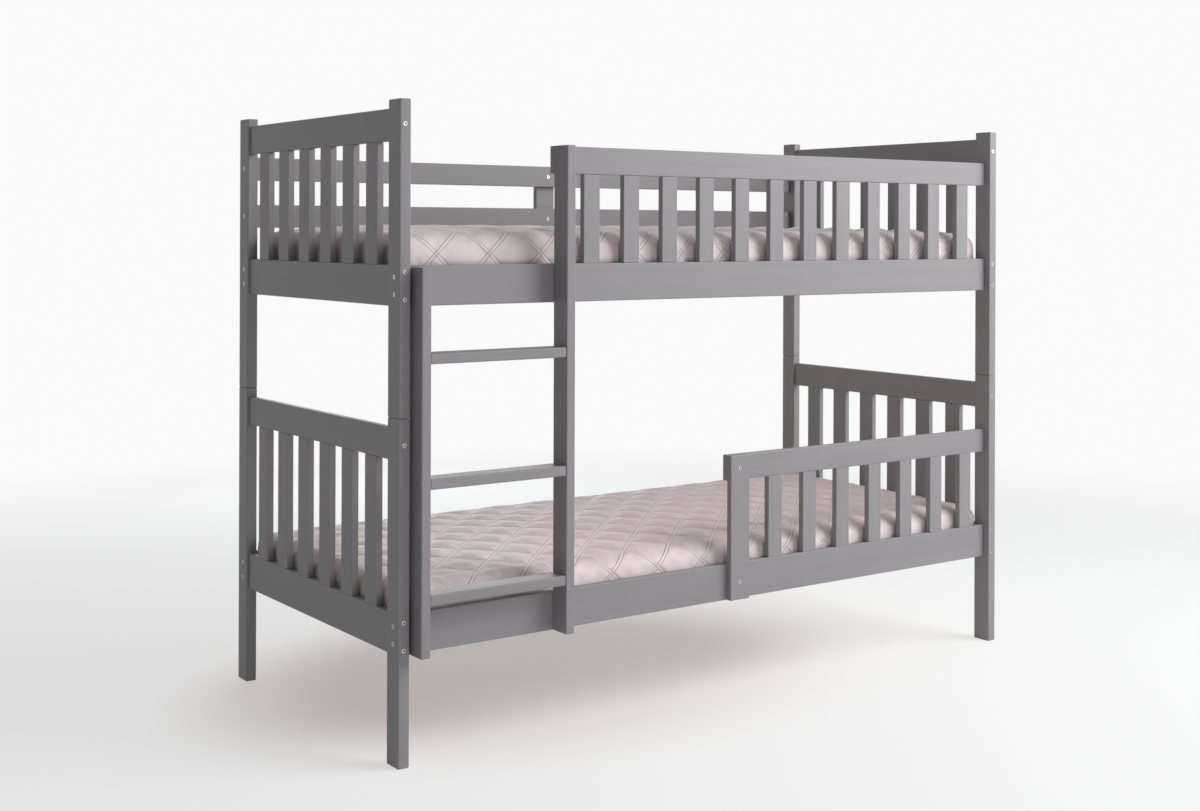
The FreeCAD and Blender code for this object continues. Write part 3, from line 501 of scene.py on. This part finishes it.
def quiltedCloth():
    finish = Finish("quiltedCloth")
    flat = finish.add("UVMap", {"uv_map": "cover"}, {})
    u = finish.add("SeparateXYZ", {}, {"Vector": flat}, "X")
    v = finish.add("SeparateXYZ", {}, {"Vector": flat}, "Y")
    root = math.sqrt(2)
    pitch = quilt["diamond"] / root
    pingPong = {"operation": "PINGPONG"}
    sine = {"operation": "SINE"}
    apart, gap = cover["lineApart"], cover["stitchGap"]
    lines, bands, puckers = [], [], []
    for sign in (1, -1):
        across = (u + v * sign) / root
        along = (u - v * sign) / root
        off = finish.add("Math", pingPong, {0: across + pitch * cover["clear"], 1: pitch / 2})
        line = 1 - finish.between(abs(off - apart / 2), *cover["lineSpan"])
        stitchShade = finish.add("Math", pingPong, {0: along + cover["stitchStart"], 1: cover["stitchPitch"] / 2})
        lines.append(line * (1 - gap + finish.between(stitchShade, *cover["stitchSpan"]) * gap))
        bands.append(1 - finish.between(off, *[apart * share for share in cover["bandSpan"]]))
        # puckers stand across their sewn line and die out away from it
        pull = finish.noise(finish.add("CombineXYZ", {}, {
            "X": across * cover["puckerAcross"], "Y": along * cover["puckerAlong"],
            "Z": cover["puckerApart"] * sign,
        }), 1, 2, 0.5)
        puckers.append((pull - 0.5) * (1 - finish.between(off, *cover["puckerSpan"])))
    line = finish.add("Math", {"operation": "MAXIMUM"}, {0: lines[0], 1: lines[1]})
    band = finish.add("Math", {"operation": "MAXIMUM"}, {0: bands[0], 1: bands[1]})
    pucker = puckers[0] + puckers[1]
    turns, slant = 2 * math.pi / cover["weave"], cover["weaveSlant"]
    warp = finish.add("Math", sine, {0: (u + v * slant) * turns})
    weft = finish.add("Math", sine, {0: (v - u * slant) * turns})
    cloudy = finish.noise(flat, cover["cloud"], 4)
    slub = finish.noise(finish.stretched(flat, cover["slub"]), 1, 2)
    # painted shade: the tone follows the puckers, darker in their troughs and lighter on their crests
    tone = cloudy * 0.5 + slub * 0.5 + pucker * cover["puckerShadeTone"]
    shade = finish.blend(finish.between(tone, *cover["toneSpan"]), cover["dark"], cover["light"])
    # painted highlight: the raised band round each sewn line is lightened in the base colour
    shade = finish.blend(band * cover["bandHighlightShow"], shade, cover["thread"])
    # painted shade: the sunken sewn lines are darkened in the base colour, darkest at the stitches
    shade = finish.blend(line * cover["stitchShadeShow"], shade, cover["stitchShade"])
    rough = cover["roughness"] + (slub - 0.5) * cover["slubRough"] - band * cover["bandRough"]
    strength = cover["reliefStrength"]
    relief = finish.bump(warp * weft, cover["weaveRelief"], cover["weaveStrength"])
    relief = finish.bump(pucker, cover["puckerRelief"], strength, relief)
    relief = finish.bump(band * cover["bandRelief"] - line, cover["lineRelief"], strength, relief)
    shader = finish.add("BsdfPrincipled", {}, {
        "Base Color": shade, "Roughness": rough, "Normal": relief,
        "Sheen Weight": cover["sheen"], "Sheen Roughness": cover["sheenRoughness"],
        "Specular IOR Level": cover["specular"],
    })
    return finish.surface(shader)


cloth = quiltedCloth()
for node in mattresses:
    piece = quiltedMattress(node)
    swell(piece)
    smoother = piece.modifiers.new("smooth", "SUBSURF")
    smoother.levels = smoother.render_levels = 1
    piece.data.materials.append(cloth)
    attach(piece, node)
    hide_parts(node)
    print(node, "quilted,", len(piece.data.vertices), "points")


# Pale floor that runs out into white, keeping the shadow under the bed; an oval round the bed deepens that
# shadow and tints it pink, a painted shadow
stageLook = {
    "floorColor": color(0.88, 0.88, 0.88),
    "seenColor": color(0.98, 1.0, 1.0),
    # pink colour of the painted shadow under the bed
    "shadowTintedGlow": color(1.0, 0.90, 0.88),
    "white": 0.957,
    "glowShares": (0.31, 0.68),     # under the bed and around it
    # oval of painted shadow round the bed's footprint: inside it less glow is mixed in and the glow turns
    # pink
    "shade": {"middle": (-0.3, 0.08), "length": 1.0, "width": 0.75, "from": 0.5, "to": 1.1},
    "fadeFrom": 2.2,
    "fadeTo": 4.5,
    "radius": 30,
    "ambient": 0.17,
}


def paleFloor():
    finish = Finish("paleFloor")
    place = finish.add("TexCoord", {}, {}, "Object")
    away = finish.add("VectorMath", {"operation": "LENGTH"}, {0: place}, "Value")
    far = finish.between(away, stageLook["fadeFrom"], stageLook["fadeTo"])
    seen = finish.add("LightPath", {}, {}, "Is Camera Ray")
    mirrored = finish.add("LightPath", {}, {}, "Is Glossy Ray")
    through = finish.add("LightPath", {}, {}, "Is Transmission Ray")
    looked = finish.add("Math", {"operation": "MAXIMUM"}, {0: seen, 1: mirrored})
    looked = finish.add("Math", {"operation": "MAXIMUM"}, {0: looked, 1: through})
    matt = finish.add("BsdfDiffuse", {}, {"Color": stageLook["floorColor"]})
    pale = finish.add("BsdfDiffuse", {}, {"Color": stageLook["seenColor"]})
    # painted shadow: inside the oval the floor shows more of its own shading and the glow is pink
    shade = stageLook["shade"]
    scale = (1 / shade["length"], 1 / shade["width"], 0)
    start = (-shade["middle"][0] * scale[0], -shade["middle"][1] * scale[1], 0)
    oval = finish.add("Mapping", {}, {"Vector": place, "Location": start, "Scale": scale})
    outsideShadowOval = finish.add("VectorMath", {"operation": "LENGTH"}, {0: oval}, "Value")
    outsideShadowOval = finish.between(outsideShadowOval, shade["from"], shade["to"])
    white = finish.blend(outsideShadowOval, stageLook["shadowTintedGlow"], color(*[stageLook["white"]] * 3))
    shadowTintedGlow = finish.add("Emission", {}, {"Color": white, "Strength": 1.0})
    under, around = stageLook["glowShares"]
    share = under + outsideShadowOval * (around - under) + far * (1 - around)
    seenFloor = finish.add("MixShader", {}, {0: share, 1: pale, 2: shadowTintedGlow})
    return finish.surface(finish.add("MixShader", {}, {0: looked, 1: matt, 2: seenFloor}))


bm = bmesh.new()
bmesh.ops.create_circle(bm, cap_ends=True, segments=64, radius=stageLook["radius"])
floorMesh = bpy.data.meshes.new("floor")
bm.to_mesh(floorMesh)
bm.free()
floor = bpy.data.objects.new("floor", floorMesh)
floorMesh.materials.append(paleFloor())
scene.collection.objects.link(floor)

world = bpy.data.worlds.new("studio")
scene.world = world
world.use_nodes = True
tree = world.node_tree
tree.nodes.clear()
lightPath = tree.nodes.new("ShaderNodeLightPath")
looked = Wire(tree, lightPath.outputs["Is Camera Ray"])
looked = looked.step("MAXIMUM", looked, Wire(tree, lightPath.outputs["Is Glossy Ray"]))
looked = looked.step("MAXIMUM", looked, Wire(tree, lightPath.outputs["Is Transmission Ray"]))
level = looked * (stageLook["white"] - stageLook["ambient"]) + stageLook["ambient"]
sky = tree.nodes.new("ShaderNodeBackground")
tree.links.new(level.socket, sky.inputs["Strength"])
sky.inputs["Color"].default_value = color(1, 1, 1)
output = tree.nodes.new("ShaderNodeOutputWorld")
tree.links.new(sky.outputs[0], output.inputs["Surface"])

# key from the front right, weaker ones low in front and behind
lamps = {
    "key": {"spot": (2.4, -2.6, 2.8), "aim": (0.1, -0.2, 0.7), "size": 3.4, "power": 150},
    "low": {"spot": (-1.0, -3.4, 0.4), "aim": (-0.5, 0, 0.3), "size": 1.4, "power": 16},
    "rear": {"spot": (0.8, 3.2, 1.5), "aim": (0, 0, 0.6), "size": 2.6, "power": 30},
}
for name, lamp in lamps.items():
    light = bpy.data.lights.new(name, "AREA")
    light.shape = "DISK"
    light.size = lamp["size"]
    light.energy = lamp["power"]
    holder = bpy.data.objects.new(name, light)
    holder.location = lamp["spot"]
    aim = Vector(lamp["aim"]) - Vector(lamp["spot"])
    holder.rotation_euler = aim.to_track_quat("-Z", "Y").to_euler()
    scene.collection.objects.link(holder)
print("floor and lamps set")

# camera of the photograph: level, three quarters on from the front left
view = {
    "eye": (-2.659, -3.5415, 1.193),
    "yaw": -35.47,
    "roll": 0.196,
    "lens": 47.673,
    "sensor": 36,
    "shiftY": -0.1456,
}
camera = bpy.data.objects.new("camera", bpy.data.cameras.new("camera"))
camera.data.sensor_fit = "HORIZONTAL"
camera.data.sensor_width = view["sensor"]
camera.data.lens = view["lens"]
camera.data.shift_y = view["shiftY"]
turns = Matrix.Rotation(math.radians(view["yaw"]), 4, "Z")
turns = turns @ Matrix.Rotation(math.pi / 2, 4, "X")
turns = turns @ Matrix.Rotation(math.radians(view["roll"]), 4, "Z")
camera.matrix_world = Matrix.Translation(view["eye"]) @ turns
scene.collection.objects.link(camera)
scene.camera = camera

print("scene ready")
